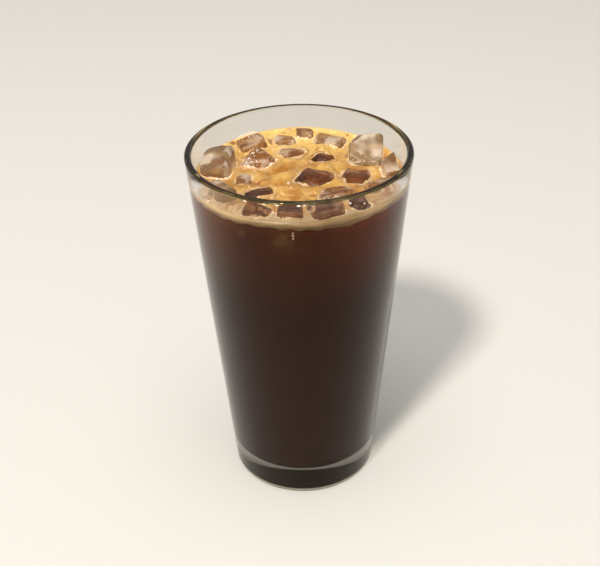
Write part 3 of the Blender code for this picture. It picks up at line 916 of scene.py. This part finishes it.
def on_wall(azimuth, height, radius):
    """Points at an azimuth in degrees, a height and a distance from the axis."""
    turn = np.radians(azimuth)
    return np.stack([radius * np.cos(turn), radius * np.sin(turn), height + 0 * turn], axis=-1)


CHAIN_DARK = (0.26, 0.13, 0.055)
CHAIN_LIGHT = (0.80, 0.62, 0.40)

chain_skin, chain_shader = finish("chain_skin", (0.36, 0.20, 0.085), 0.1)
chain_spots = between(chain_skin, noise(chain_skin, 1500, 2.0), 0.4, 0.6)
chain_colour = blended(chain_skin, chain_spots, CHAIN_DARK, CHAIN_LIGHT)
chain_skin.node_tree.links.new(chain_colour, chain_shader.inputs["Base Color"])
chain_from_axis = inner_radius(CHAIN_HEIGHTS) + COFFEE_INTO_WALL - 0.5 * CHAIN_RADII
chain_centres = on_wall(CHAIN_AZIMUTH, CHAIN_HEIGHTS, chain_from_axis)
chain_balls = balls(chain_centres, CHAIN_RADII, CHAIN_AROUND, CHAIN_RINGS)
stands_for(piece("wall_bubbles", *chain_balls, chain_skin), "foam")

# A drop of water hangs under the lip at the front, and beside it small white flecks on the lip
# are painted highlights, standing in for glints of light. Each is a flattened ball with its foot in
# the wall, a little fuller below.

# Of the drop and of each fleck: azimuth in degrees, height, half width and half height.
HANGING_DROP = (-84.7, 0.1470, 0.00175, 0.00195)
LIP_GLINT_FLECKS = (
    (-90.6, 0.1480, 0.00080, 0.00030),
    (-88.0, 0.1481, 0.00045, 0.00024),
    (-100.7, 0.1480, 0.00065, 0.00028),
    (-106.8, 0.1480, 0.00045, 0.00026),
    (-116.4, 0.1479, 0.00050, 0.00030),
    (-66.0, 0.1466, 0.00050, 0.00040),
    (-58.0, 0.1448, 0.00034, 0.00034),
)
DROP_FLATNESS = 0.34
DROP_SAG = 0.35
DROP_AROUND = 28
DROP_RINGS = 17


def drop(azimuth, height, half_wide, half_tall):
    """A ball squeezed to its half width along the wall, its half height up it and a third of
    that through it, where the part below the middle bulges out more than the part above."""
    points, quads = balls(np.zeros((1, 3)), np.ones(1), DROP_AROUND, DROP_RINGS)
    turn = math.radians(azimuth)
    along = points[:, :1] * half_wide
    up = points[:, 1:2] * half_tall
    out = points[:, 2:] * half_wide * DROP_FLATNESS * (1 - DROP_SAG * points[:, 1:2])
    tangent = np.array([-math.sin(turn), math.cos(turn), 0])
    outward = np.array([math.cos(turn), math.sin(turn), 0])
    slope = (MOUTH_RADIUS - FOOT_RADIUS) / GLASS_TOP
    climb = np.array([0, 0, 1.0]) + slope * outward
    middle = on_wall(azimuth, height, outer_radius(height))
    return middle + along * tangent + up * climb + out * outward, quads


water, water_shader = finish("water", (0.98, 0.98, 0.96), 0.0, IOR=1.33, Transmission_Weight=1.0)
bumped(water, water_shader, noise(water, 600, 1.0), 0.00001)
lets_lamps_through(water, water_shader, (0.97, 0.97, 0.96))
stands_for(piece("hanging_drop", *drop(*HANGING_DROP), water), "glass")
# Painted highlights: the flecks are plain white, for glints of light along the lip.
lip_glint_white = finish("lip_glint_white", (1.0, 0.96, 0.90), 0.25)[0]
for index, glint in enumerate(LIP_GLINT_FLECKS):
    stands_for(piece("lip_glint_%d" % index, *drop(*glint), lip_glint_white), "foam")

# A thin film of foam was left on the wall at the back when the drink settled. It is a milky,
# patchy sheet with an uneven outline, and it sticks to the glass by its own wetness.

FILM_MIDDLE = (122.0, 0.1391)
FILM_HALF_TURN = 7.0
FILM_HALF_TALL = 0.0014
FILM_THICKNESS = 0.00008
FILM_AROUND = 60
FILM_RINGS = 21


def film():
    """A ball pressed on to the wall, whose outline swells and shrinks with the angle t about
    its middle as 1 + 0.16 sin(3 t + 1) + 0.09 sin(7 t)."""
    points, quads = balls(np.zeros((1, 3)), np.ones(1), FILM_AROUND, FILM_RINGS)
    about = np.arctan2(points[:, 1], points[:, 0])
    outline = 1 + 0.16 * np.sin(3 * about + 1) + 0.09 * np.sin(7 * about)
    azimuth = FILM_MIDDLE[0] + FILM_HALF_TURN * points[:, 0] * outline
    height = FILM_MIDDLE[1] + FILM_HALF_TALL * points[:, 1] * outline
    radius = inner_radius(height) - FILM_THICKNESS * points[:, 2]
    return on_wall(azimuth, height, radius), quads


milky_film, film_shader = finish("milky_film", (0.95, 0.93, 0.89), 0.35, IOR=1.33)
patchy = between(milky_film, noise(milky_film, 500, 4.0), 0.3, 0.7, 0.40, 0.0)
milky_film.node_tree.links.new(patchy, film_shader.inputs["Transmission Weight"])
lets_lamps_through(milky_film, film_shader, (0.95, 0.94, 0.92))
stands_for(piece("wall_film", *film(), milky_film), "foam")

# The drink stands on a plain pale table, a flat sheet with a faint grain. It is wider than the
# view, takes the shadow of the drink and is not part of it.

TABLE_HALF = 3.0
TABLE_CORNERS = ((-1, -1, 0), (1, -1, 0), (1, 1, 0), (-1, 1, 0))
TABLE_GRAIN = 0.0001

table_cream, table_shader = finish("table_cream", (0.90, 0.882, 0.845), 0.55)
bumped(table_cream, table_shader, noise(table_cream, 900, 2.0), TABLE_GRAIN, 0.3)
table = piece("table", TABLE_HALF * np.array(TABLE_CORNERS), [(0, 1, 2, 3)], table_cream)

# Soft light: a warm lamp to the front left and half way up, which throws the shadow, and a
# wide pale ceiling. The room is bright low down and dim overhead.

KEY_AZIMUTH = 244.7
KEY_ELEVATION = 51.5
CEILING_AZIMUTH = 270
CEILING_ELEVATION = 80
DRINK_MIDDLE = 0.075
ROOM_COLOUR = (1.0, 0.975, 0.945)
ROOM_FADE = {"From Min": 0.55, "From Max": 0.85, "To Min": 0.48, "To Max": 0.06}


def soft_lamp(name, azimuth, elevation, distance, width, power, colour):
    """A square lamp at a bearing and height from the drink's middle, turned to face it."""
    data = bpy.data.lights.new(name, "AREA")
    data.size = width
    data.energy = power
    data.color = colour
    lamp = bpy.data.objects.new(name, data)
    bpy.context.scene.collection.objects.link(lamp)
    bearing, height = math.radians(azimuth), math.radians(elevation)
    level = distance * math.cos(height)
    lamp.location = (
        level * math.cos(bearing),
        level * math.sin(bearing),
        DRINK_MIDDLE + distance * math.sin(height),
    )
    lamp.rotation_euler = (math.pi / 2 - height, 0, bearing + math.pi / 2)


soft_lamp(
    "key",
    KEY_AZIMUTH,
    KEY_ELEVATION,
    distance=2.6,
    width=0.28,
    power=48,
    colour=(1.0, 0.94, 0.855),
)
soft_lamp(
    "ceiling",
    CEILING_AZIMUTH,
    CEILING_ELEVATION,
    distance=2.4,
    width=1.9,
    power=21,
    colour=(1.0, 0.98, 0.95),
)
room = bpy.data.worlds.new("room")
room.use_nodes = True
up = room.node_tree.nodes.new("ShaderNodeTexCoord")
split = room.node_tree.nodes.new("ShaderNodeSeparateXYZ")
dimmed = room.node_tree.nodes.new("ShaderNodeMapRange")
dimmed.interpolation_type = "SMOOTHSTEP"
for socket, value in ROOM_FADE.items():
    dimmed.inputs[socket].default_value = value
background = room.node_tree.nodes["Background"]
background.inputs["Color"].default_value = (*ROOM_COLOUR, 1)
room.node_tree.links.new(up.outputs["Generated"], split.inputs[0])
room.node_tree.links.new(split.outputs["Z"], dimmed.inputs["Value"])
room.node_tree.links.new(dimmed.outputs[0], background.inputs["Strength"])
bpy.context.scene.world = room

# The camera looks down at the drink from the front, held a little aslant. Its place and its lens
# were fitted to the rim, the sides and the foot of the tumbler.

CAMERA_DISTANCE = 0.4988
CAMERA_ELEVATION = math.radians(33.24)
LOOK_BELOW_LEVEL = math.radians(31.966)
LOOK_LEFT = math.radians(0.0799)
CAMERA_ROLL = math.radians(-1.110)
FOCAL_PIXELS = 1189.3
PHOTO_WIDTH_PIXELS = 600
SENSOR_WIDTH_MM = 36
NEAREST_SEEN = 0.01

camera_data = bpy.data.cameras.new("camera")
camera = bpy.data.objects.new("camera", camera_data)
bpy.context.scene.collection.objects.link(camera)
bpy.context.scene.camera = camera
camera_data.sensor_width = SENSOR_WIDTH_MM
camera_data.lens = FOCAL_PIXELS * SENSOR_WIDTH_MM / PHOTO_WIDTH_PIXELS
camera_data.clip_start = NEAREST_SEEN
camera.matrix_world = (
    Matrix.Translation((
        0,
        -CAMERA_DISTANCE * math.cos(CAMERA_ELEVATION),
        DRINK_MIDDLE + CAMERA_DISTANCE * math.sin(CAMERA_ELEVATION),
    ))
    @ Matrix.Rotation(LOOK_LEFT, 4, "Z")
    @ Matrix.Rotation(math.pi / 2 - LOOK_BELOW_LEVEL, 4, "X")
    @ Matrix.Rotation(CAMERA_ROLL, 4, "Z")
)
bpy.context.scene.view_settings.view_transform = "Standard"
